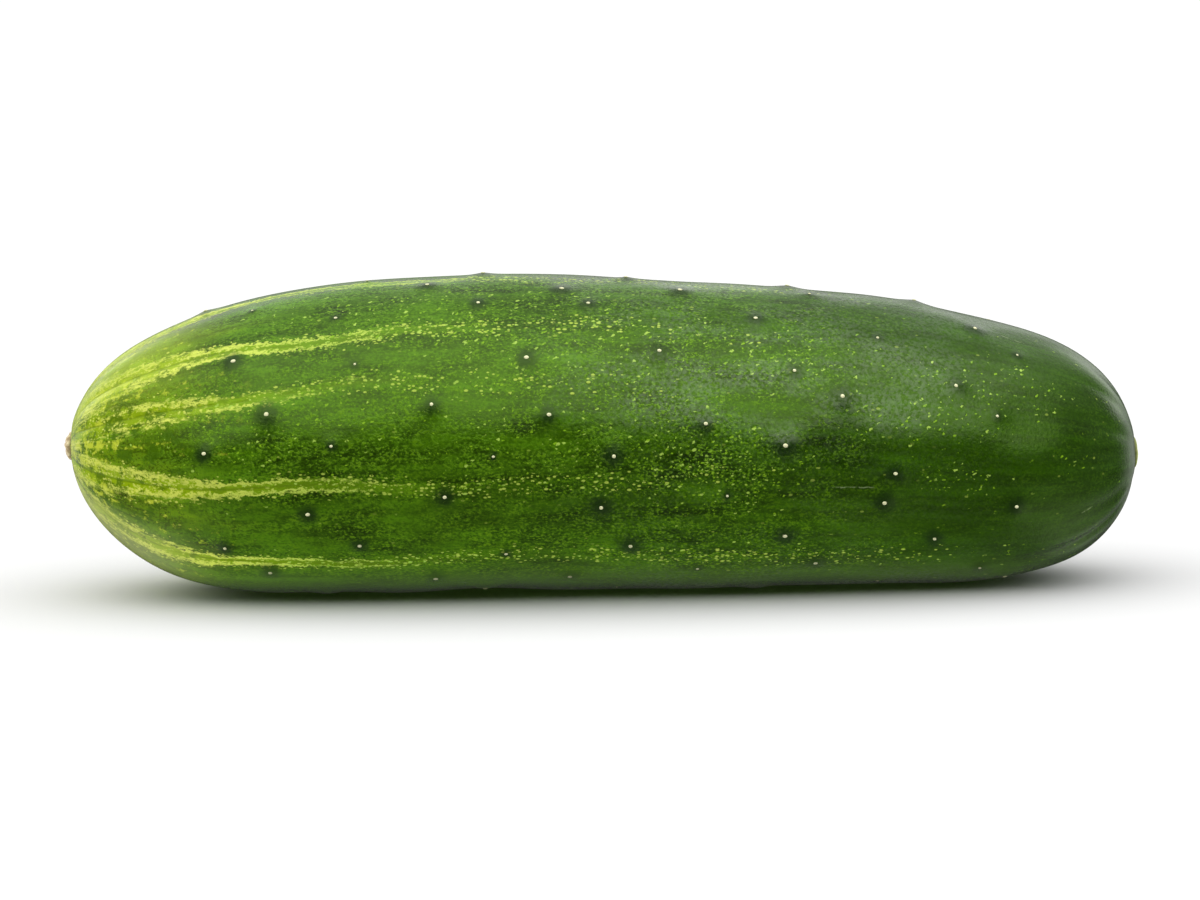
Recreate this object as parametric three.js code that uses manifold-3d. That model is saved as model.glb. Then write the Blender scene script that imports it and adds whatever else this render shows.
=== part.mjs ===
// A fresh slicing cucumber, as picked, lying level on its belly.
//
// Millimetres, +Z up. The fruit lies along X: the corky blossom scar faces -X and the stem
// scar faces +X. The origin is the middle of the footprint, on the surface that it rests on.
//
// The body is a lathe turned about its own axis. Every point is then moved out by the low
// ridges and up to the height of the axis, so that the belly line is straight and level and
// both tips turn up a little. A thin slice under the belly is cut away as the resting face.

import * as THREE from 'three';
import { mergeVertices } from 'three/addons/utils/BufferGeometryUtils.js';
import Module from 'manifold-3d';

// Driving dimensions
const LENGTH = 190;               // scar to scar
const GIRTH_RADIUS = 27.8;        // at the thickest place
const REST_DEPTH = 0.25;          // slice that the resting face takes off the belly

// Shape of the body along its length, where s runs from -1 (blossom tip) to +1 (stem tip)
const THICKEST_AT = -0.15;
const TAPER = 0.2;                // loss of radius, growing with the square of the distance
const BLOSSOM_END = { start: 0.45, power: 3.2 };
const STEM_END = { start: 0.5, power: 4.6 };

// Turn-up of the axis at the tips
const TURN_UP_START = 0.7;
const BLOSSOM_TURN_UP = 2.9;
const STEM_TURN_UP = 2.0;

// Low ridges round the girth
const RIDGES = 10;
const RIDGE_HEIGHT = 0.18;

// Scars at the two tips
const BLOSSOM_SCAR = { radius: 2.9, proud: 1.2 };
const STEM_SCAR = { radius: 2.9, proud: 0.5, groove: 0.4, rim: 4.4 };

// Fineness of the lathe
const STATIONS = 48;
const ROUND_STEPS = 48;

const HALF = LENGTH / 2;
const BLOSSOM_TIP = -HALF + BLOSSOM_SCAR.proud - 0.3;
const STEM_TIP = HALF - 0.3;

const SKIN = { color: '#4a6f1c', roughness: 0.38, metalness: 0 };

// Radius of the plain barrel, before its ends are rounded
function barrelRadius(s) {
  return GIRTH_RADIUS * (1 - TAPER * (s - THICKEST_AT) ** 2);
}

// Share of the barrel's radius that is left where an end rounds over, from 1 down to 0
function roundedEnd(distance, end) {
  const u = Math.max(0, (distance - end.start) / (1 - end.start));
  return Math.sqrt(Math.max(0, 1 - u ** end.power));
}

function bodyRadius(s) {
  return barrelRadius(s) * roundedEnd(-s, BLOSSOM_END) * roundedEnd(s, STEM_END);
}

// Position along the body of the point x on the long axis
function alongBody(x) {
  const s = (2 * x - BLOSSOM_TIP - STEM_TIP) / (STEM_TIP - BLOSSOM_TIP);
  return THREE.MathUtils.clamp(s, -1, 1);
}

function xOf(s) {
  return THREE.MathUtils.lerp(BLOSSOM_TIP, STEM_TIP, (s + 1) / 2);
}

// The axis keeps the belly on one level, and rises where the tips turn up
function axisHeight(s) {
  const past = Math.max(0, (Math.abs(s) - TURN_UP_START) / (1 - TURN_UP_START));
  const turnUp = s < 0 ? BLOSSOM_TURN_UP : STEM_TURN_UP;
  return barrelRadius(s) - REST_DEPTH + turnUp * past ** 2;
}

// Outline from the blossom scar's middle to the stem scar's middle, as (radius, x) points
function outline() {
  const points = [
    new THREE.Vector2(0, -HALF),
    new THREE.Vector2(0.75 * BLOSSOM_SCAR.radius, -HALF),
    new THREE.Vector2(BLOSSOM_SCAR.radius, -HALF + 0.4 * BLOSSOM_SCAR.proud),
    new THREE.Vector2(BLOSSOM_SCAR.radius, -HALF + 0.9 * BLOSSOM_SCAR.proud),
  ];
  for (let i = 1; i < STATIONS; i += 1) {
    const s = -Math.cos(Math.PI * i / STATIONS);
    const smallest = s < 0 ? 1.1 * BLOSSOM_SCAR.radius : STEM_SCAR.rim;
    if (bodyRadius(s) > smallest) {
      points.push(new THREE.Vector2(bodyRadius(s), xOf(s)));
    }
  }
  const grooveX = HALF - STEM_SCAR.proud - STEM_SCAR.groove;
  points.push(
    new THREE.Vector2(STEM_SCAR.rim, HALF - STEM_SCAR.proud),
    new THREE.Vector2(1.2 * STEM_SCAR.radius, grooveX),
    new THREE.Vector2(STEM_SCAR.radius, HALF - 0.6 * STEM_SCAR.proud),
    new THREE.Vector2(0.8 * STEM_SCAR.radius, HALF),
    new THREE.Vector2(0, HALF),
  );
  return points;
}

// A lathe about X, with its seam and poles merged and only its positions kept
function turnedAlongX(points) {
  const lathe = new THREE.LatheGeometry(points, ROUND_STEPS);
  lathe.rotateZ(-Math.PI / 2);
  lathe.deleteAttribute('normal');
  lathe.deleteAttribute('uv');
  return mergeVertices(lathe);
}

// Moves every point of the lathe to its place on the grown fruit
function growInto(geometry) {
  const position = geometry.attributes.position;
  const point = new THREE.Vector3();
  for (let i = 0; i < position.count; i += 1) {
    point.fromBufferAttribute(position, i);
    const s = alongBody(point.x);
    const radius = Math.hypot(point.y, point.z);
    const angle = Math.atan2(point.y, point.z);
    const ridge = RIDGE_HEIGHT * Math.cos(RIDGES * angle) * radius / GIRTH_RADIUS;
    point.y = (radius + ridge) * Math.sin(angle);
    point.z = (radius + ridge) * Math.cos(angle) + axisHeight(s);
    position.setXYZ(i, point.x, point.y, point.z);
  }
  return geometry;
}

const manifold = await Module();
manifold.setup();

// A manifold solid of a closed geometry with merged vertices, leaving out empty triangles
function solidOf(geometry) {
  const index = geometry.index.array;
  const corners = [];
  for (let i = 0; i < index.length; i += 3) {
    const [a, b, c] = [index[i], index[i + 1], index[i + 2]];
    if (a !== b && b !== c && c !== a) {
      corners.push(a, b, c);
    }
  }
  return new manifold.Manifold(new manifold.Mesh({
    numProp: 3,
    vertProperties: Float32Array.from(geometry.attributes.position.array),
    triVerts: Uint32Array.from(corners),
  }));
}

function geometryOf(solid) {
  const mesh = solid.getMesh();
  const geometry = new THREE.BufferGeometry();
  geometry.setAttribute('position', new THREE.BufferAttribute(mesh.vertProperties, 3));
  geometry.setIndex(new THREE.BufferAttribute(mesh.triVerts, 1));
  geometry.computeVertexNormals();
  return geometry;
}

// Everything below the resting surface
function groundBlock() {
  const depth = GIRTH_RADIUS;
  const block = new THREE.BoxGeometry(1.2 * LENGTH, 4 * GIRTH_RADIUS, depth);
  block.translate(0, 0, -depth / 2);
  block.deleteAttribute('normal');
  block.deleteAttribute('uv');
  return mergeVertices(block);
}

function cucumber() {
  const grown = solidOf(growInto(turnedAlongX(outline())));
  const resting = grown.subtract(solidOf(groundBlock()));
  const mesh = new THREE.Mesh(geometryOf(resting), new THREE.MeshStandardMaterial(SKIN));
  mesh.name = 'cucumber';
  return mesh;
}

const part = new THREE.Group();
part.add(cucumber());

export default part;
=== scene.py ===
"""A fresh slicing cucumber lying on its belly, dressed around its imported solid.

The long axis runs along X, blossom end at -X and stem end at +X. Two parameters name a point
of the fruit: s, from -1 at the blossom tip to +1 at the stem tip, and turn, the angle round
the axis, 0 on the front (-Y), a quarter turn at the top and minus a quarter turn at the belly.
"""
import math
import bpy
import numpy as np
from mathutils import Matrix, Vector


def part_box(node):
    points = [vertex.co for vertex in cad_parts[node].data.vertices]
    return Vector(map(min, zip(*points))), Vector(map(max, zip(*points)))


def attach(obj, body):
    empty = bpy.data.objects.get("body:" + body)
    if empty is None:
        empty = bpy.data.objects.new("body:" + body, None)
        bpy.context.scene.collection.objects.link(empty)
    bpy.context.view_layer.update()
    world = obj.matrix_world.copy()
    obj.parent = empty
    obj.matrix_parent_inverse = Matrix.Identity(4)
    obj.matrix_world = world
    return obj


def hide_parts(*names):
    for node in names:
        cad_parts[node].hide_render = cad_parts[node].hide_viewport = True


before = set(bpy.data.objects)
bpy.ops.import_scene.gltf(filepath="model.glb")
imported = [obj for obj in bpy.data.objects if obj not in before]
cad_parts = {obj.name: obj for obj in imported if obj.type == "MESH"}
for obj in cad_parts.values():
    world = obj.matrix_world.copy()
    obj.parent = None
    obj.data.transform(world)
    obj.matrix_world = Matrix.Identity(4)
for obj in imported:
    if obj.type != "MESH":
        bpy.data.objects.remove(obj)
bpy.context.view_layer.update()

MM = 0.001
QUARTER = math.pi / 2
FULL = 2 * math.pi

# Sizes from the frame
LOW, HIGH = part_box("cucumber")
HALF = (HIGH.x - LOW.x) / 2
GIRTH = (HIGH.z - LOW.z) / 2

# Shape of the body along its length
REST_DEPTH = 0.25 * MM
THICKEST_AT = -0.15
TAPER = 0.2
BLOSSOM_END = (0.45, 3.2)
STEM_END = (0.5, 4.6)
TURN_UP_START = 0.7
BLOSSOM_TURN_UP = 2.9 * MM
STEM_TURN_UP = 2.0 * MM
BLOSSOM_TIP = -HALF + 0.9 * MM
STEM_TIP = HALF - 0.3 * MM

# Scars at the two tips: radius of each, how proud it stands, the gutter in the skin round it,
# and how far its foot reaches into the fruit. The gutter's middle is a ring round the scar
BLOSSOM_SCAR, BLOSSOM_PROUD = 2.7 * MM, 0.8 * MM
STEM_SCAR, STEM_PROUD = 2.9 * MM, 0.45 * MM
GUTTER_WIDTH = 0.7 * MM
GUTTER_RING = 1.25
BLOSSOM_GUTTER_DEPTH = 0.35 * MM
STEM_GUTTER_DEPTH = 0.40 * MM
SCAR_FOOT = 0.5 * MM

# The relief of the skin fades out where the body's radius is less than this
RELIEF_FADES_AT = 6 * MM

# Fineness of the skin
ROUND_STEPS = 300
STATIONS = 320

# Stripes: middle in degrees, where they stop being solid, where their last specks are, strength
STRIPES = [
    (82, -0.21, 0.29, 1.0), (47.5, -0.33, 0.12, 1.0), (25.5, -0.44, -0.05, 0.80),
    (-10, -0.36, 0.12, 1.0), (-43, -0.36, 0.48, 1.0), (-85, -0.40, 0.20, 0.8),
    (-123, -0.25, 0.30, 1.0), (-162, -0.35, 0.45, 0.9), (159, -0.30, 0.30, 1.0),
    (120, -0.45, 0.20, 0.8),
]

# Spines: rows round the fruit, spines in a row, and how far along the first and last may stand
# as shares of half the length. Then the share of faint ones, the furthest that one strays from
# its place, and the golden share of the spacing by which each row starts later than the last
SPINE_ROWS = 20
SPINES_IN_ROW = 6
FIRST_SPINE, LAST_SPINE = -0.72, 0.80
FAINT_SHARE = 0.36
SPINE_STRAY = 3.4 * MM
GOLDEN = (math.sqrt(5) - 1) / 2

# Range of size of common and of faint spines, and the measures of a spine of size 1
COMMON_SIZES = (0.8, 1.2)
FAINT_SIZES = (0.4, 0.6)
HUMP_HEIGHT, HUMP_WIDTH = 0.36 * MM, 2.3 * MM
PIMPLE_HEIGHT, PIMPLE_WIDTH = 0.1 * MM, 0.8 * MM
SPINE_RADIUS, SPINE_RISE = 0.32 * MM, 0.27 * MM
SPINE_SINK, SPINE_FOOT = 0.05 * MM, 0.15 * MM

# Furrows on the stripes' middle lines at the blossom tip, and the ribs between them
FURROW_DEPTH, FURROW_WIDTH = 0.26 * MM, 0.9 * MM
RIB_HEIGHT, RIB_WIDTH, RIB_FOOT = 0.45 * MM, 4 * MM, 0.22 * MM

# Creases at the stem end: how many, the first one in degrees, and its depth
CREASES = 15
FIRST_CREASE = -46
FIRST_CREASE_DEPTH = 0.90 * MM

# Swellings and hollows of the upper side: middle s, width in s, height. Then how high the
# fainter waves all round it are
UPPER_SWELLS = [
    (-0.88, 0.09, -0.25 * MM), (-0.37, 0.22, 0.30 * MM), (0.15, 0.22, -0.29 * MM),
    (0.78, 0.13, -0.45 * MM),
]
WAVE_HEIGHT = 0.17 * MM

# Patches where specks crowd: mm along, degrees round, mm long, mm wide, how thickly.
# Then how many more stand on the far side
SPECK_PATCHES = [
    (17, -3, 13, 7, 0.95), (5, 47, 14, 6, 0.60), (-17, 46, 15, 6, 0.65), (-12, 30, 24, 8, 0.36),
    (32, 38, 16, 7, 0.40), (-10, 2, 18, 6, 0.35), (64, 31, 11, 5, 0.38), (59, 19, 8, 4, 0.45),
    (48, 12, 9, 4, 0.24), (61, -6, 6, 4, 0.36), (81, 1, 3, 2, 0.40), (-55, 8, 20, 8, 0.25),
    (38, -44, 24, 3, 0.45), (-30, 60, 30, 6, 0.40), (73, 37, 7, 4, 0.34),
]
FAR_PATCHES = 16

# Fine pale scratches: millimetres along, degrees round, length in millimetres, lean in degrees
SCRATCHES = [
    (64.7, 31, 3.0, 92), (34.2, 58, 3.4, 96), (35.4, 58, 3.8, 84), (37.2, 57, 3.6, 62),
    (5.0, 52, 3.4, 100), (6.2, 52, 3.0, 86), (4.2, 53, 2.6, 112), (42.8, -11, 7.5, 2),
    (84.0, -25, 2.5, 16), (-24.5, -61, 2.0, -14), (72.0, 68, 5.0, -12), (60.0, -70, 5.0, 4),
    (-10, 150, 6.0, 8), (44, 205, 4.0, 80), (20, 120, 5.0, -6), (-48, 188, 3.0, 40),
]


def smooth(low, high, value):
    """0 below low, 1 above high, and an S-curve between them."""
    t = np.clip((value - low) / (high - low), 0, 1)
    return t * t * (3 - 2 * t)


def bell(distance, width):
    """1 at no distance, falling away on both sides as a bell curve of the given width."""
    return np.exp(-(distance / width) ** 2)


def barrel_radius(s):
    """Radius of the plain barrel: greatest at THICKEST_AT, and less with the distance squared."""
    return (GIRTH + REST_DEPTH / 2) * (1 - TAPER * (s - THICKEST_AT) ** 2)


def rounded_end(distance, end):
    """Share of the radius left where an end rounds over: a superellipse past its start."""
    start, power = end
    u = np.clip((distance - start) / (1 - start), 0, 1)
    return np.sqrt(np.clip(1 - u ** power, 0, 1))


def body_radius(s):
    return barrel_radius(s) * rounded_end(-s, BLOSSOM_END) * rounded_end(s, STEM_END)


def axis_height(s):
    """Height of the axis: it keeps the belly level, and turns up at both tips."""
    past = np.clip((np.abs(s) - TURN_UP_START) / (1 - TURN_UP_START), 0, 1)
    turn_up = np.where(s < 0, BLOSSOM_TURN_UP, STEM_TURN_UP)
    return barrel_radius(s) - REST_DEPTH + turn_up * past ** 2


def x_at(s):
    return BLOSSOM_TIP + (STEM_TIP - BLOSSOM_TIP) * (s + 1) / 2


def s_at(x):
    return 2 * (x - BLOSSOM_TIP) / (STEM_TIP - BLOSSOM_TIP) - 1


def outline_way():
    """Many values of s, and the way in metres along the skin's outline from the tip to each."""
    s = -np.cos(np.linspace(0, math.pi, 4001))
    steps = np.hypot(np.diff(x_at(s)), np.diff(body_radius(s)))
    return s, np.concatenate([[0.0], np.cumsum(steps)])


WAY_S, WAY = outline_way()


def turn_gap(turn, other):
    """Signed angle from other to turn, from minus to plus half a turn."""
    return (turn - other + math.pi) % FULL - math.pi


def all_spines():
    """Every spine as (x, turn, size), where size 1 is a common one.

    Spines stand in rows along the fruit, evenly spaced. Each row starts a golden share of the
    spacing after the row before it, and each spine strays a little from its place."""
    rng = np.random.default_rng(7)
    spines = []
    for row in range(SPINE_ROWS):
        shift = row * GOLDEN % 1
        for step in range(SPINES_IN_ROW):
            share = (step + shift) / SPINES_IN_ROW
            stray_along, stray_round = rng.uniform(-SPINE_STRAY, SPINE_STRAY, 2)
            x = (FIRST_SPINE + (LAST_SPINE - FIRST_SPINE) * share) * HALF + stray_along
            turn = row * FULL / SPINE_ROWS + stray_round / GIRTH
            sizes = FAINT_SIZES if rng.random() < FAINT_SHARE else COMMON_SIZES
            spines.append((x, turn, rng.uniform(*sizes)))
    return spines


SPINES = all_spines()


def spine_fields(turn, s):
    """For the nearest spine: how far it is in metres, and its size."""
    nearest = np.full(turn.shape, 1.0)
    size = np.ones(turn.shape)
    radius = body_radius(s)
    for x, spine_turn, spine_size in SPINES:
        d = np.hypot(x_at(s) - x, turn_gap(turn, spine_turn) * radius)
        size = np.where(d < nearest, spine_size, size)
        nearest = np.minimum(nearest, d)
    return nearest, size


def humps(turn, s):
    """Low round humps, one bell curve for each spine, with a small pimple at its middle."""
    height = np.zeros(turn.shape)
    radius = body_radius(s)
    for x, spine_turn, size in SPINES:
        d = np.hypot(x_at(s) - x, turn_gap(turn, spine_turn) * radius)
        height += size * HUMP_HEIGHT * bell(d, HUMP_WIDTH * (0.6 + 0.4 * size))
        height += PIMPLE_HEIGHT * bell(d, PIMPLE_WIDTH)
    return height


def swells(turn, s):
    """Slow unevenness: bell-shaped swellings of the upper side, and seeded waves all round.

    Each wave is a cosine round times a cosine along, and all fade out at the tips."""
    upper = (1 + np.sin(turn)) / 2
    total = sum(height * upper * bell(s - middle, width) for middle, width, height in UPPER_SWELLS)
    rng = np.random.default_rng(3)
    for waves in (1, 2, 2, 3, 3, 4, 5, 6, 7, 8):
        along_waves = rng.uniform(4, 11) + 2 * waves
        phase, slant = rng.uniform(0, FULL, 2)
        wave = np.cos(waves * turn + phase) * np.cos(along_waves * s + slant)
        total = total + WAVE_HEIGHT / math.sqrt(waves) * wave
    return total * smooth(0, 0.25, 1 - np.abs(s))


def stripe_middle(i, s):
    """Angle of stripe i's middle line, which wanders a little along the fruit."""
    wander = 1.5 * np.sin(7 * s + 2.1 * i) + 0.7 * np.sin(17 * s + 1.3 * i)
    return np.radians(STRIPES[i][0] + wander)


def stripe_fields(turn, s):
    """For the nearest stripe: signed offset in metres, how solid it is, how many specks.

    The sign changes sides from one stripe to the next, so that the offset has no jump where
    two stripes meet."""
    radius = body_radius(s)
    offset = np.full(turn.shape, 1.0)
    solid = np.zeros(turn.shape)
    specks = np.zeros(turn.shape)
    for i, (_, solid_to, specks_to, strength) in enumerate(STRIPES):
        d = turn_gap(turn, stripe_middle(i, s)) * radius
        nearer = np.abs(d) < np.abs(offset)
        offset = np.where(nearer, d if i % 2 else -d, offset)
        fading = strength * (1 - smooth(solid_to - 0.3, solid_to + 0.2, s))
        solid = np.where(nearer, fading, solid)
        reach = smooth(solid_to - 0.5, solid_to, s) * (1 - smooth(specks_to - 0.3, specks_to + 0.3, s))
        specks = np.where(nearer, strength * reach, specks)
    return offset, solid, specks


def blossom_ribs(turn, s):
    """Furrows on the stripes' middle lines, and broad ribs between them, near the blossom tip."""
    offset, _, _ = stripe_fields(turn, s)
    near_tip = 1 - smooth(-0.97, -0.35, s)
    furrow = -FURROW_DEPTH * bell(offset, FURROW_WIDTH)
    rib = RIB_HEIGHT * (1 - bell(offset, RIB_WIDTH))
    return near_tip * (furrow + rib - RIB_FOOT)


def stem_creases(turn, s):
    """Creases that gather at the stem scar, each a narrow valley beside a low fold.

    The first is deeper than the seeded others."""
    rng = np.random.default_rng(11)
    radius = body_radius(s)
    total = np.zeros(turn.shape)
    for i in range(CREASES):
        middle = math.radians(FIRST_CREASE + 360 / CREASES * i + rng.uniform(-5, 5) * min(i, 1))
        start = rng.uniform(0.64, 0.82)
        depth = rng.uniform(0.14, 0.36) * MM if i else FIRST_CREASE_DEPTH
        width = rng.uniform(0.9, 1.7) * MM
        bend = middle + math.radians(rng.uniform(-16, 16)) * (1 - s)
        d = turn_gap(turn, bend) * radius
        fold = bell(d, width) - 0.6 * bell(d - 2 * width, 1.4 * width)
        total -= depth * smooth(start, 0.97, s) * fold
    return total


def relief(turn, s):
    """How far the skin stands proud of the plain body."""
    plain = humps(turn, s) + swells(turn, s)
    return plain + blossom_ribs(turn, s) + stem_creases(turn, s)


def gutters(s, radius):
    """How far the skin sinks along X round each scar: a bell curve across a ring round it."""
    blossom = BLOSSOM_GUTTER_DEPTH * bell(radius - GUTTER_RING * BLOSSOM_SCAR, GUTTER_WIDTH)
    stem = -STEM_GUTTER_DEPTH * bell(radius - GUTTER_RING * STEM_SCAR, GUTTER_WIDTH)
    return np.where(s < 0, blossom, stem)


def skin_point(turn, s):
    """Points of the skin, as arrays (..., 3): the body's circle at s, moved out by the relief.

    What would reach below the ground is pressed flat on it."""
    radius = body_radius(s)
    out = radius + relief(turn, s) * np.minimum(1, radius / RELIEF_FADES_AT)
    x = x_at(s) + gutters(s, radius)
    y = -out * np.cos(turn)
    z = np.maximum(out * np.sin(turn) + axis_height(s), 0)
    return np.stack([x, y, z], axis=-1)


def new_object(name, points, faces):
    """A smooth-shaded mesh object at the origin, from points and faces."""
    mesh = bpy.data.meshes.new(name)
    mesh.from_pydata(points.reshape(-1, 3).tolist(), [], faces)
    mesh.polygons.foreach_set("use_smooth", [True] * len(mesh.polygons))
    mesh.update()
    made = bpy.data.objects.new(name, mesh)
    bpy.context.scene.collection.objects.link(made)
    return made


def barrel_faces(rows, columns):
    """Faces of rows of points round a barrel, closed at both ends by a fan to a pole point.

    The two poles come after the rows. Also gives each corner's place on the unrolled barrel."""
    i, j = np.meshgrid(np.arange(rows - 1), np.arange(columns), indexing="ij")
    nxt = (j + 1) % columns
    quads = np.stack([i * columns + j, (i + 1) * columns + j, (i + 1) * columns + nxt,
                      i * columns + nxt], axis=-1).reshape(-1, 4)
    quad_uv = np.stack([np.stack([j, j, j + 1, j + 1], -1) / columns,
                        np.stack([i + 1, i + 2, i + 2, i + 1], -1) / (rows + 1)], axis=-1)
    k = np.arange(columns)
    first, last = rows * columns, rows * columns + 1
    fans, fan_uv = [], []
    for row, pole, ends in ((0, first, (1, 0)), (rows - 1, last, (rows, rows + 1))):
        a, b = row * columns + k, row * columns + (k + 1) % columns
        corner_v = np.array([ends[0], ends[0], ends[1]]) / (rows + 1)
        order = (a, b, np.full(columns, pole)) if row == 0 else (b, a, np.full(columns, pole))
        fans.append(np.stack(order, -1))
        u = np.stack([k, k + 1, k + 0.5], -1) if row == 0 else np.stack([k + 1, k, k + 0.5], -1)
        fan_uv.append(np.stack([u / columns, np.broadcast_to(corner_v, u.shape)], -1))
    faces = quads.tolist() + fans[0].tolist() + fans[1].tolist()
    corners = np.concatenate([quad_uv.reshape(-1, 2)] + [f.reshape(-1, 2) for f in fan_uv])
    return faces, corners


def cap_faces(rings, sides):
    """Faces of a closed cap: rings from the foot up, then a top point, then one underneath."""
    i, k = np.meshgrid(np.arange(rings - 1), np.arange(sides), indexing="ij")
    nxt = (k + 1) % sides
    quads = np.stack([i * sides + k, i * sides + nxt, (i + 1) * sides + nxt,
                      (i + 1) * sides + k], axis=-1).reshape(-1, 4)
    k = np.arange(sides)
    nxt = (k + 1) % sides
    top = np.full(sides, rings * sides)
    last = (rings - 1) * sides
    lid = np.stack([last + k, last + nxt, top], axis=-1)
    under = np.stack([nxt, k, top + 1], axis=-1)
    return quads.tolist() + lid.tolist() + under.tolist()


def give_attribute(thing, name, values):
    """Stores one number, or one vector, for every point of a mesh."""
    values = np.asarray(values, np.float32)
    kind, slot = ("FLOAT_VECTOR", "vector") if values.ndim == 2 else ("FLOAT", "value")
    attribute = thing.data.attributes.new(name, kind, "POINT")
    attribute.data.foreach_set(slot, values.ravel())


def crowd_of_specks(turn, s):
    """Where small yellow specks crowd: bell-shaped patches, and seeded ones on the far side."""
    patches = list(SPECK_PATCHES)
    rng = np.random.default_rng(5)
    for _ in range(FAR_PATCHES):
        patches.append((rng.uniform(-30, 75), rng.uniform(100, 280), rng.uniform(8, 20),
                        rng.uniform(4, 8), rng.uniform(0.25, 0.6)))
    radius = body_radius(s)
    crowd = np.zeros(turn.shape)
    for x, degrees, long, wide, amount in patches:
        dx = (x_at(s) - x * MM) / (long * MM)
        da = turn_gap(turn, math.radians(degrees)) * radius / (wide * MM)
        crowd = np.maximum(crowd, amount * np.exp(-dx ** 2 - da ** 2))
    return crowd


def scratch_fields(turn, s):
    """For the nearest scratch: signed distance in metres across it, and 1 along its length."""
    radius = body_radius(s)
    across = np.full(turn.shape, 1.0)
    reach = np.zeros(turn.shape)
    for x, degrees, long, lean in SCRATCHES:
        dx = x_at(s) - x * MM
        dy = turn_gap(turn, math.radians(degrees)) * radius
        c, n = math.cos(math.radians(lean)), math.sin(math.radians(lean))
        off = dy * c - dx * n
        inside = 1 - smooth(0.35, 0.55, np.abs(dx * c + dy * n) / (long * MM))
        mine = (np.abs(off) < 2 * MM) & (inside > reach)
        across = np.where(mine, off, across)
        reach = np.where(mine, inside, reach)
    return across, reach


def make_skin():
    """The whole skin as one closed barrel of points, with the fields that its finish reads."""
    even = np.linspace(0, WAY[-1], STATIONS + 2)[1:-1]
    turns = -QUARTER + FULL * np.arange(ROUND_STEPS) / ROUND_STEPS
    s, turn = np.meshgrid(np.interp(even, WAY, WAY_S), turns, indexing="ij")
    s_all = np.concatenate([s.ravel(), [-1.0, 1.0]])
    turn_all = np.concatenate([turn.ravel(), [0.0, 0.0]])
    faces, corners = barrel_faces(STATIONS, ROUND_STEPS)
    skin = new_object("skin", skin_point(turn_all, s_all), faces)
    layer = skin.data.uv_layers.new(name="OFBake")
    layer.data.foreach_set("uv", corners.astype(np.float32).ravel())
    offset, solid, specks = stripe_fields(turn_all, s_all)
    gap, size = spine_fields(turn_all, s_all)
    across, reach = scratch_fields(turn_all, s_all)
    way = np.interp(s_all, WAY_S, WAY)
    unrolled = np.stack([way, GIRTH * np.cos(turn_all), GIRTH * np.sin(turn_all)], axis=-1)
    give_attribute(skin, "unrolled", unrolled / MM)
    give_attribute(skin, "along", s_all)
    give_attribute(skin, "stripe_offset", offset / MM)
    give_attribute(skin, "stripe_solid", solid)
    give_attribute(skin, "stripe_specks", specks)
    give_attribute(skin, "spine_gap", gap / MM)
    give_attribute(skin, "spine_size", size)
    give_attribute(skin, "crowd", crowd_of_specks(turn_all, s_all))
    give_attribute(skin, "scratch_across", across / MM)
    give_attribute(skin, "scratch_reach", reach)
    return skin


def surface_frames(turn, s):
    """Points of the skin with the directions round it, along it and out of it, as arrays."""
    step = 0.002
    here = skin_point(turn, s)
    around = skin_point(turn + step, s) - here
    along = skin_point(turn, s + step) - here
    around /= np.linalg.norm(around, axis=-1, keepdims=True)
    along /= np.linalg.norm(along, axis=-1, keepdims=True)
    out = np.cross(around, along)
    return here, around, along, out / np.linalg.norm(out, axis=-1, keepdims=True)


def make_spine_tips():
    """Cream spine bases: a low dome on each hump, its rings a quarter circle from foot to top.

    Spines lower than 1 mm are left out, because the fruit lies on them."""
    rings, sides = 4, 10
    rng = np.random.default_rng(21)
    x, turn, size = np.array(SPINES).T
    here, around, along, out = surface_frames(turn, s_at(x))
    clear = here[:, 2] > 1 * MM
    chosen = [v[clear][..., None, None] for v in (here, around, along, out, size)]
    here, around, along, out, size = chosen
    here, around, along, out = [np.moveaxis(v, 1, -1) for v in (here, around, along, out)]
    a = QUARTER * np.arange(rings + 1)[:, None] / rings
    b = FULL * np.arange(sides) / sides
    radius = SPINE_RADIUS * (0.40 + 0.60 * size)
    stretch = rng.uniform(0.95, 1.35, size.shape)
    rise = SPINE_RISE * size * np.sin(a) - SPINE_SINK + 0 * b
    round_way = radius * np.cos(a) * np.cos(b)
    long_way = radius * np.cos(a) * np.sin(b) * stretch
    grid = (here + around * round_way[..., None] + along * long_way[..., None]
            + out * rise[..., None])
    count = len(grid)
    domes = grid[:, :rings].reshape(count, -1, 3)
    tops = grid[:, rings, :1]
    under = here.reshape(count, 1, 3) - out.reshape(count, 1, 3) * SPINE_FOOT
    points = np.concatenate([domes, tops, under], axis=1)
    one = cap_faces(rings, sides)
    span = rings * sides + 2
    faces = [tuple(corner + i * span for corner in face) for i in range(count) for face in one]
    return new_object("spine_tips", points, faces)


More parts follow.
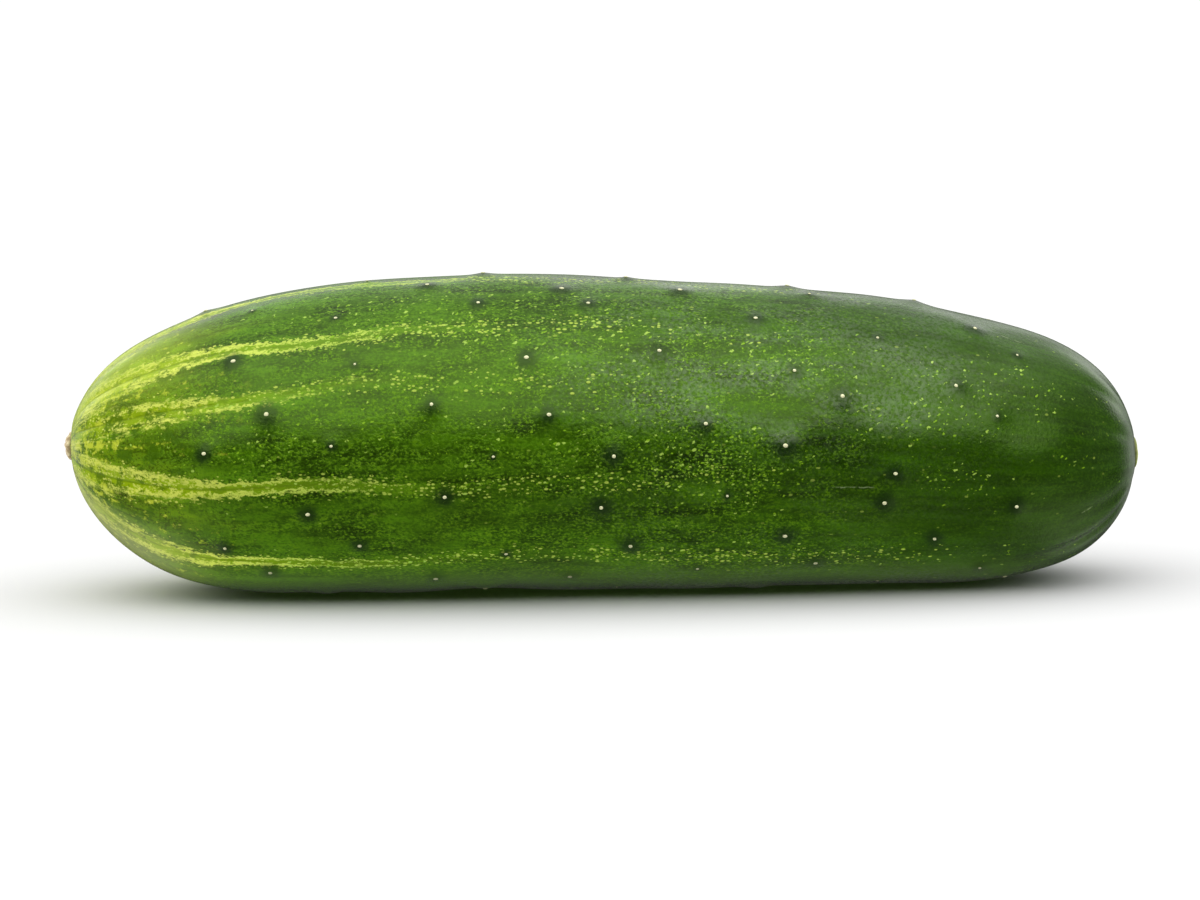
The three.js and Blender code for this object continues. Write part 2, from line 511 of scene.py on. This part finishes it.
def make_scar(name, tip, facing, radius, proud, lumps, seed):
    """A lumpy cap on a tip: its height falls from the middle to the rim with the fourth power.

    Seeded waves round it push the rim in and out, and waves across it raise lumps."""
    rings, sides = 16, 48
    rng = np.random.default_rng(seed)
    share = 1 - np.arange(rings)[:, None] / rings
    angle = FULL * np.arange(sides) / sides + 0 * share
    edge = np.ones(angle.shape)
    bumps = np.zeros(angle.shape)
    for waves in (2, 3, 5, 7):
        phase, twist = rng.uniform(0, FULL, 2)
        edge += 0.5 * lumps / waves * np.cos(waves * angle + phase)
        bumps += lumps * np.cos(waves * angle + twist + 5 * share) * share * (1.1 - share)
    height = proud * (1 - share ** 4 + 1.6 * bumps)
    s = math.copysign(1, facing)
    x = tip + facing * np.where(share == 1, -SCAR_FOOT, height)
    y = facing * radius * share * edge * np.cos(angle)
    middle_z = float(axis_height(np.array(s)))
    z = middle_z + radius * share * edge * np.sin(angle)
    grid = np.stack([x, y, z], axis=-1).reshape(-1, 3)
    top = np.array([tip + facing * proud, 0, middle_z])
    under = np.array([tip - facing * SCAR_FOOT, 0, middle_z])
    piece = new_object(name, np.concatenate([grid, [top, under]]), cap_faces(rings, sides))
    give_attribute(piece, "rim", np.concatenate([(share + 0 * angle).ravel(), [0, 1]]))
    return piece


class Wire:
    """A node's output. Arithmetic on wires and numbers adds Math nodes to the same tree."""

    def __init__(self, paint, socket):
        self.paint = paint
        self.socket = socket

    def maths(self, operation, *others):
        inputs = dict(enumerate([self, *others]))
        return self.paint.node("ShaderNodeMath", {"operation": operation}, inputs)

    def __add__(self, other):
        return self.maths("ADD", other)

    def __sub__(self, other):
        return self.maths("SUBTRACT", other)

    def __rsub__(self, other):
        return (self * -1).maths("ADD", other)

    def __mul__(self, other):
        return self.maths("MULTIPLY", other)

    def __truediv__(self, other):
        return self.maths("DIVIDE", other)

    __radd__ = __add__
    __rmul__ = __mul__

    def size(self):
        return self.maths("ABSOLUTE")

    def most(self, other):
        return self.maths("MAXIMUM", other)

    def step(self, low, high):
        """0 at low, 1 at high, and an S-curve between, where low may be the greater."""
        inputs = {0: self, 1: low, 2: high, 3: 0.0, 4: 1.0}
        return self.paint.node("ShaderNodeMapRange", {"interpolation_type": "SMOOTHSTEP"}, inputs)


class Paint:
    """The node tree of one material or world."""

    def __init__(self, tree):
        self.tree = tree
        tree.nodes.clear()

    def node(self, kind, settings=None, inputs=None, output=0):
        """Adds a node: its settings first, then its sockets' values or links.

        Gives one of its outputs, if it has any."""
        made = self.tree.nodes.new(kind)
        for name, value in (settings or {}).items():
            setattr(made, name, value)
        for key, value in (inputs or {}).items():
            if isinstance(value, Wire):
                self.tree.links.new(value.socket, made.inputs[key])
            else:
                made.inputs[key].default_value = value
        return Wire(self, made.outputs[output]) if made.outputs else None

    def attribute(self, name, output="Fac"):
        return self.node("ShaderNodeAttribute", {"attribute_name": name}, output=output)

    def times(self, vector, factors):
        """A vector or a colour with each of its three numbers multiplied by its own factor."""
        return self.node("ShaderNodeVectorMath", {"operation": "MULTIPLY"}, {0: vector, 1: factors})

    def scaled(self, vector, factor):
        """A vector or a colour multiplied by one factor."""
        inputs = {0: vector, "Scale": factor}
        return self.node("ShaderNodeVectorMath", {"operation": "SCALE"}, inputs)

    def place(self, stretch=(1, 1, 1)):
        """Object coordinates in millimetres, each axis divided by its stretch."""
        spot = self.node("ShaderNodeTexCoord", output="Object")
        return self.times(spot, tuple(1 / MM / k for k in stretch))

    def noise(self, spot, scale, detail=2.0, rough=0.5):
        inputs = {"Vector": spot, "Scale": scale, "Detail": detail, "Roughness": rough}
        return self.node("ShaderNodeTexNoise", {}, inputs, "Fac")

    def cells(self, spot, scale, output="Distance"):
        inputs = {"Vector": spot, "Scale": scale}
        return self.node("ShaderNodeTexVoronoi", {"feature": "F1"}, inputs, output)

    def dots(self, spot, scale, amount, radius):
        """A dot in some cells of a net: amount is the share of cells, radius is in cell widths."""
        colour = self.cells(spot, scale, "Color")
        pick = self.part_of(colour, "Red")
        size = self.part_of(colour, "Green")
        chosen = (pick + amount).step(0.97, 1.03)
        around = self.cells(spot, scale) / (0.55 + size * 0.75)
        return chosen * around.step(radius * 1.25, radius * 0.7)

    def mix(self, share, first, second):
        """Colour first where share is 0, and second where it is 1."""
        inputs = {0: share, 6: first, 7: second}
        return self.node("ShaderNodeMix", {"data_type": "RGBA"}, inputs, 2)

    def part_of(self, colour, channel):
        return self.node("ShaderNodeSeparateColor", {}, {0: colour}, channel)


def rgb(red, green, blue):
    return (red, green, blue, 1.0)


def new_material(name):
    material = bpy.data.materials.new(name)
    material.use_nodes = True
    return material, Paint(material.node_tree)


def finish_material(paint, inputs):
    shader = paint.node("ShaderNodeBsdfPrincipled", {}, inputs)
    paint.node("ShaderNodeOutputMaterial", {}, {"Surface": shader})


def ground_green(paint, along, unrolled):
    """The green under all marks: yellow-green at the blossom end and blue-green at the stem end,
    with long streaks and cloudy patches of lighter and darker green."""
    drift = paint.noise(paint.times(unrolled, (0.2, 1, 1)), 0.12, 3.0, 0.6)
    where = along + (drift - 0.5) * 0.7
    green = paint.mix(where.step(-1.02, -0.60), rgb(0.150, 0.270, 0.002), rgb(0.048, 0.128, 0.0012))
    green = paint.mix(where.step(-0.45, 0.15), green, rgb(0.0315, 0.090, 0.0008))
    green = paint.mix(where.step(0.15, 0.65), green, rgb(0.0215, 0.066, 0.0010))
    green = paint.mix(where.step(0.68, 1.0), green, rgb(0.0215, 0.056, 0.0055))
    streaks = paint.noise(paint.times(unrolled, (0.16, 1, 1)), 0.42, 4.0, 0.6)
    clouds = paint.noise(paint.times(unrolled, (0.45, 1, 1)), 0.16, 3.0, 0.55)
    threads = paint.noise(paint.times(unrolled, (0.06, 1, 1)), 0.9, 2.0, 0.5)
    contrast = 1 - along.step(0.2, 0.8) * 0.5
    shade = 1 + ((streaks - 0.5) * 2.2 + (clouds - 0.5) * 2.0) * contrast + (threads - 0.5) * 0.8
    return paint.scaled(green, shade.most(0.35))


def leathery_grain(paint, along):
    """Small light crumbs in a dark net, about half a millimetre wide, fading to the stem end."""
    bend = paint.noise(paint.place((2.5, 1, 1)), 0.28, 3.0)
    fine = paint.noise(paint.place((1.4, 1, 1)), 2.6, 2.0, 0.6)
    coarse = paint.noise(paint.place((1.7, 1, 1)), 0.9, 3.0, 0.65)
    crumbs = fine * 0.68 + coarse * 0.32
    lively = (1 - along.step(0.15, 0.70) * 0.85) * (0.35 + bend.step(0.35, 0.62) * 0.65)
    light = crumbs.step(0.52, 0.59) * lively
    dark = crumbs.step(0.49, 0.41) * (0.25 + lively * 0.75)
    return light, dark


def stripe_marks(paint, along, unrolled, offset, solid, specks):
    """Masks of the mid band, of the two crumbling lines beside it and of its dark middle line."""
    wavy = paint.noise(paint.times(unrolled, (0.55, 1, 1)), 0.7, 3.0, 0.65) - 0.5
    jagged = paint.noise(paint.place((1.5, 1, 1)), 1.9, 3.0, 0.7) - 0.5
    breaks = paint.noise(paint.times(unrolled, (0.30, 1, 1)), 0.55, 4.0, 0.65)
    tip = along.step(-0.60, -0.95)
    wide = 0.85 + tip * 1.15
    side = offset.size() + wavy * (2.6 + tip * 3.0) + jagged * (2.2 + tip * 3.0)
    from_line = (side - wide).size()
    thick = 0.30 + along.step(-0.35, -0.85) * 0.26 + tip * 0.65
    keep = (breaks + solid * 0.42 + specks * 0.06 + jagged * 0.6 - tip * 0.10).step(0.72, 0.92)
    core = (from_line / thick).step(1.10, 0.20) * keep
    near = from_line.step(1.5 + tip, 0.3)
    crumbs = paint.dots(paint.place((1.7, 1, 1)), 1.8, near * (solid * 0.60 + specks * 0.65), 0.34)
    lines = core.most(crumbs * 0.85)
    band = side.step(wide + 0.5, wide * 0.5) * solid
    middle = offset.size().step(0.34, 0.08) * along.step(-0.30, -0.62) * breaks.step(0.36, 0.5)
    return lines, band, middle


def speck_marks(paint, crowd, specks, offset):
    """Small ragged specks in two sizes, thick where they crowd and along the stripes' far ends."""
    beside = specks * offset.size().step(2.6, 0.9) * 0.45
    amount = crowd.most(beside)
    wobble = paint.noise(paint.place(), 1.4, 2.0) * 0.9
    bent = paint.node("ShaderNodeVectorMath", {"operation": "ADD"},
                      {0: paint.place((1.5, 1, 1)), 1: wobble})
    small = paint.dots(bent, 1.9, amount * 0.65, 0.28)
    large = paint.dots(bent, 1.35, amount * 0.70, 0.24)
    return small, large


def tip_blotches(paint, along, unrolled):
    """Masks of the blossom tip's dark patches, and of its pale lime blotches and streaks."""
    blotch = paint.noise(paint.place((1.3, 1, 1)), 0.70, 4.0, 0.68)
    rays = paint.noise(paint.times(unrolled, (0.10, 1, 1)), 0.34, 3.0, 0.6)
    near_tip = along.step(-0.76, -1.0) * 0.20
    pale = (blotch * 1.3 + rays * 0.9 + near_tip).step(1.24, 1.46) * along.step(-0.60, -0.80)
    patches = paint.noise(paint.place((1.3, 1, 1)), 0.38, 3.0, 0.6)
    deep = patches.step(0.50, 0.40) * along.step(-0.60, -0.78)
    return pale, deep


def spine_halo(paint, fray):
    """A soft dark spot round each spine, with a frayed rim."""
    gap = paint.attribute("spine_gap")
    size = paint.attribute("spine_size")
    return (gap / size + (fray - 0.5) * 1.8).step(2.9, 0.7)


def scratch_mark(paint, fray):
    """Thin pale scratches, broken here and there."""
    across = paint.attribute("scratch_across") + (fray - 0.5) * 0.7
    return across.size().step(0.17, 0.05) * paint.attribute("scratch_reach") * fray.step(0.40, 0.54)


def lay_stripes_and_specks(paint, green, along, unrolled):
    """Stripes, the blossom tip's patches and the yellow specks, laid over the ground green.

    Also gives the masks of the stripes' lines and of their middles, which the relief reads."""
    offset = paint.attribute("stripe_offset")
    solid = paint.attribute("stripe_solid")
    specks = paint.attribute("stripe_specks")
    lines, band, middle = stripe_marks(paint, along, unrolled, offset, solid, specks)
    small, large = speck_marks(paint, paint.attribute("crowd"), specks, offset)
    pale, deep = tip_blotches(paint, along, unrolled)
    near_tip = along.step(-0.45, -0.85)
    lime = paint.mix(near_tip, rgb(0.170, 0.330, 0.003), rgb(0.300, 0.440, 0.002))
    cream = paint.mix(near_tip, rgb(0.48, 0.62, 0.085), rgb(0.70, 0.76, 0.120))
    green = paint.mix(band * (0.60 + near_tip * 0.30), green, lime)
    green = paint.mix(deep * 0.72, green, rgb(0.045, 0.115, 0.001))
    green = paint.mix(pale * 0.85, green, rgb(0.56, 0.64, 0.040))
    green = paint.mix(lines * 0.92, green, cream)
    green = paint.mix(middle * 0.60, green, rgb(0.110, 0.190, 0.002))
    green = paint.mix(small * 0.85, green, rgb(0.23, 0.43, 0.012))
    green = paint.mix(large * 0.90, green, rgb(0.38, 0.57, 0.080))
    return green, lines, middle


def belly_and_tip_with_painted_light(paint, green, along, up):
    """Paler, brighter green on the belly: painted light bounced up from the floor, over a paler
    underside. Pale lime on the top and the underside of the blossom tip, with a painted rim highlight
    that is whitest underneath.
    """
    between_tips = along.step(-0.95, -0.65) * along.step(0.94, 0.58)
    # Painted bounce light: the belly up to twice as bright toward the bottom, then a lighter green at
    # the very bottom, over a paler underside
    green = paint.scaled(green, 1 + up.step(-0.30, -0.90) * between_tips)
    green = paint.mix(up.step(-0.66, -0.98) * between_tips * 0.70, green, rgb(0.200, 0.390, 0.045))
    # Painted rim highlight: the top and the underside of the blossom tip turn pale lime, whitish
    # underneath, over the tip's own lime
    tip_rims = up.size().step(0.40, 0.85) * along.step(-0.66, -0.93)
    tip_lime_and_highlight = paint.mix(up.step(-0.3, 0.3), rgb(0.70, 0.75, 0.28), rgb(0.46, 0.57, 0.05))
    return paint.mix(tip_rims * 0.50, green, tip_lime_and_highlight)


def waxy_bloom(paint, along, unrolled, up, pebbles):
    """Weight of the pale bloom: cloudy past the middle, thinner below the flank, and pebbled."""
    clouds = paint.noise(paint.times(unrolled, (0.5, 1, 1)), 0.13, 3.0, 0.6)
    cloudy = along.step(-0.20, 0.15) * along.step(0.90, 0.50) * clouds.step(0.32, 0.62)
    upper = 0.4 + up.step(-0.20, 0.12) * 0.6
    return (0.04 + cloudy * 0.90) * pebbles.step(0.38, 0.60) * upper


def skin_material():
    """Waxy skin, bumpy under a pale bloom. Up runs from -1 at the belly line to 1 at the top."""
    material, paint = new_material("waxy_green_skin")
    along = paint.attribute("along")
    unrolled = paint.attribute("unrolled", "Vector")
    up = paint.node("ShaderNodeSeparateXYZ", {}, {0: unrolled}, "Z") / (GIRTH / MM)
    light, dark = leathery_grain(paint, along)
    fray = paint.noise(paint.place(), 0.7, 3.0, 0.6)
    green = paint.scaled(ground_green(paint, along, unrolled), 1 - dark * 0.54)
    green = paint.mix(light * 0.85, green, rgb(0.115, 0.250, 0.003))
    green, lines, middle = lay_stripes_and_specks(paint, green, along, unrolled)
    green = paint.mix(spine_halo(paint, fray) * 0.88, green, rgb(0.0080, 0.0250, 0.0040))
    green = paint.mix(scratch_mark(paint, fray) * 0.40, green, rgb(0.36, 0.45, 0.22))
    # Painted light: bounce light on the belly and rim highlights on the blossom tip
    green = belly_and_tip_with_painted_light(paint, green, along, up)
    wear = paint.noise(paint.times(unrolled, (0.4, 1, 1)), 0.22, 3.0)
    rough = 0.15 + wear * 0.11 + dark * 0.04
    pebbles = paint.noise(paint.place(), 1.6, 3.0, 0.6)
    coat = waxy_bloom(paint, along, unrolled, up, pebbles)
    height = pebbles * 1.1 + light * 0.6 + lines * 0.5 - middle * 0.8
    bump = paint.node("ShaderNodeBump", {}, {"Strength": 0.6, "Distance": 0.09 * MM, "Height": height})
    finish_material(paint, {"Base Color": green, "Roughness": rough, "Normal": bump, "IOR": 1.52,
                            "Specular Tint": rgb(0.62, 1.0, 0.26), "Coat Weight": coat,
                            "Coat Roughness": 0.30})
    return material


def spine_material():
    material, paint = new_material("cream_spine_base")
    grain = paint.noise(paint.place(), 2.5, 3.0)
    colour = paint.mix(grain, rgb(0.66, 0.66, 0.36), rgb(0.92, 0.91, 0.58))
    finish_material(paint, {"Base Color": colour, "Roughness": 0.45 + grain * 0.2})
    return material


def corky_material():
    """Dry tan cork: cream crests, pinkish-brown hollows and a darker rim."""
    material, paint = new_material("dry_corky_scar")
    rim = paint.attribute("rim")
    grain = paint.noise(paint.place(), 0.9, 4.0, 0.65)
    cracks = paint.cells(paint.place(), 1.1)
    colour = paint.mix(grain.step(0.38, 0.62), rgb(0.50, 0.36, 0.19), rgb(0.86, 0.75, 0.46))
    colour = paint.mix(cracks.step(0.50, 0.80) * 0.45, colour, rgb(0.18, 0.11, 0.055))
    colour = paint.mix(rim.step(0.88, 1.0) * 0.4, colour, rgb(0.20, 0.16, 0.06))
    height = grain + cracks.step(0.7, 0.3)
    bump = paint.node("ShaderNodeBump", {}, {"Strength": 0.8, "Distance": 0.15 * MM, "Height": height})
    finish_material(paint, {"Base Color": colour, "Roughness": 0.8 + grain * 0.15, "Normal": bump})
    return material


def cut_stem_material():
    """The healed stem end: mottled yellow-green, with a dark brown-green rim."""
    material, paint = new_material("healed_stem_end")
    rim = paint.attribute("rim")
    grain = paint.noise(paint.place((3, 1, 1)), 1.2, 4.0, 0.65)
    colour = paint.mix(grain.step(0.35, 0.65), rgb(0.30, 0.37, 0.06), rgb(0.56, 0.63, 0.18))
    colour = paint.mix(rim.step(0.88, 0.99) * 0.85, colour, rgb(0.055, 0.060, 0.015))
    bump = paint.node("ShaderNodeBump", {}, {"Strength": 0.7, "Distance": 0.12 * MM, "Height": grain})
    finish_material(paint, {"Base Color": colour, "Roughness": 0.6 + grain * 0.2, "Normal": bump})
    return material


def dress(piece, material):
    piece.data.materials.append(material)
    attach(piece, "root")


def soft_sky():
    """Soft studio light, told apart by the kind of ray that asks for it.

    Matt surfaces get a broad light from overhead. Reflections show a bright panel in front and
    above, a dimmer ceiling behind it, a low wall at the back, a pane behind each end, and a
    glow from below that is stronger toward both ends. The view itself shows plain white.
    The angle is 0 at the level front, 90 overhead and 180 at the level back."""
    world = bpy.data.worlds.new("soft_studio")
    bpy.context.scene.world = world
    world.use_nodes = True
    paint = Paint(world.node_tree)
    way = paint.node("ShaderNodeTexCoord", output="Generated")
    x = paint.node("ShaderNodeSeparateXYZ", {}, {0: way}, "X")
    y = paint.node("ShaderNodeSeparateXYZ", {}, {0: way}, "Y")
    z = paint.node("ShaderNodeSeparateXYZ", {}, {0: way}, "Z")
    angle = z.maths("ARCTAN2", y * -1) * (180 / math.pi)
    overhead = 0.02 + angle.step(34, 54) * angle.step(150, 112) * 2.35
    panel = angle.step(13, 18) * angle.step(108, 66) * x.step(0.74, 0.42) * x.step(-0.84, -0.45)
    ceiling = angle.step(60, 100) * angle.step(178, 160) * x.size().step(0.90, 0.45)
    wall = angle.step(146, 158) * angle.step(178, 166) * x.size().step(0.98, 0.70)
    under = z.step(-0.15, -0.95)
    glow = 0.13 + x.size().step(0.3, 0.6) * 0.65
    beside = x.size().step(0.30, 0.55) * y.step(0.35, 0.75) * z.step(-0.45, -0.20)
    mirrored = 0.01 + panel * 2.1 + ceiling * 0.55 + wall * 0.45 + under * glow + beside * 0.6
    in_mirror = paint.node("ShaderNodeLightPath", output="Is Glossy Ray")
    in_view = paint.node("ShaderNodeLightPath", output="Is Camera Ray")
    light = overhead + in_mirror * (mirrored - overhead)
    strength = light + in_view * (1.1 - light)
    back = paint.node("ShaderNodeBackground", {}, {"Color": rgb(1, 1, 1), "Strength": strength})
    paint.node("ShaderNodeOutputWorld", {}, {"Surface": back})


def make_floor():
    """A wide pale floor just under the fruit, which reflections leave out."""
    half = 40.0
    corners = np.array([(-half, -half, 0), (half, -half, 0), (half, half, 0), (-half, half, 0)])
    floor = new_object("floor", corners - np.array([0, 0, 0.05 * MM]), [(0, 1, 2, 3)])
    material, paint = new_material("pale_floor")
    finish_material(paint, {"Base Color": rgb(0.66, 0.66, 0.66), "Roughness": 0.9,
                            "Specular IOR Level": 0.0})
    floor.data.materials.append(material)
    floor.visible_glossy = False


def make_camera():
    """A long lens from the front, a little above, rolled a degree. The frame is 1.122 lengths wide."""
    lens, sensor = 100.0, 36.0
    frame_width = 1.122 * 2 * HALF
    distance = frame_width * lens / sensor
    elevation, roll = math.radians(8), math.radians(0.95)
    aim = Vector((-0.2 * MM, 0, (LOW.z + HIGH.z) / 2 - 3.5 * MM))
    back = Vector((0, -math.cos(elevation), math.sin(elevation)))
    data = bpy.data.cameras.new("camera")
    data.lens = lens
    data.sensor_width = sensor
    data.clip_start, data.clip_end = 0.01, 100
    camera = bpy.data.objects.new("camera", data)
    bpy.context.scene.collection.objects.link(camera)
    turn = (-back).to_track_quat("-Z", "Y").to_matrix().to_4x4() @ Matrix.Rotation(-roll, 4, "Z")
    camera.matrix_world = Matrix.Translation(aim + back * distance) @ turn
    bpy.context.scene.camera = camera


skin = make_skin()
dress(skin, skin_material())
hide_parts("cucumber")
dress(make_spine_tips(), spine_material())
blossom_scar = make_scar("blossom_scar", BLOSSOM_TIP, -1, BLOSSOM_SCAR, BLOSSOM_PROUD, 0.22, 4)
dress(blossom_scar, corky_material())
stem_scar = make_scar("stem_scar", STEM_TIP, 1, STEM_SCAR, STEM_PROUD, 0.08, 9)
dress(stem_scar, cut_stem_material())
soft_sky()
make_floor()
make_camera()
bpy.context.scene.view_settings.view_transform = "Standard"
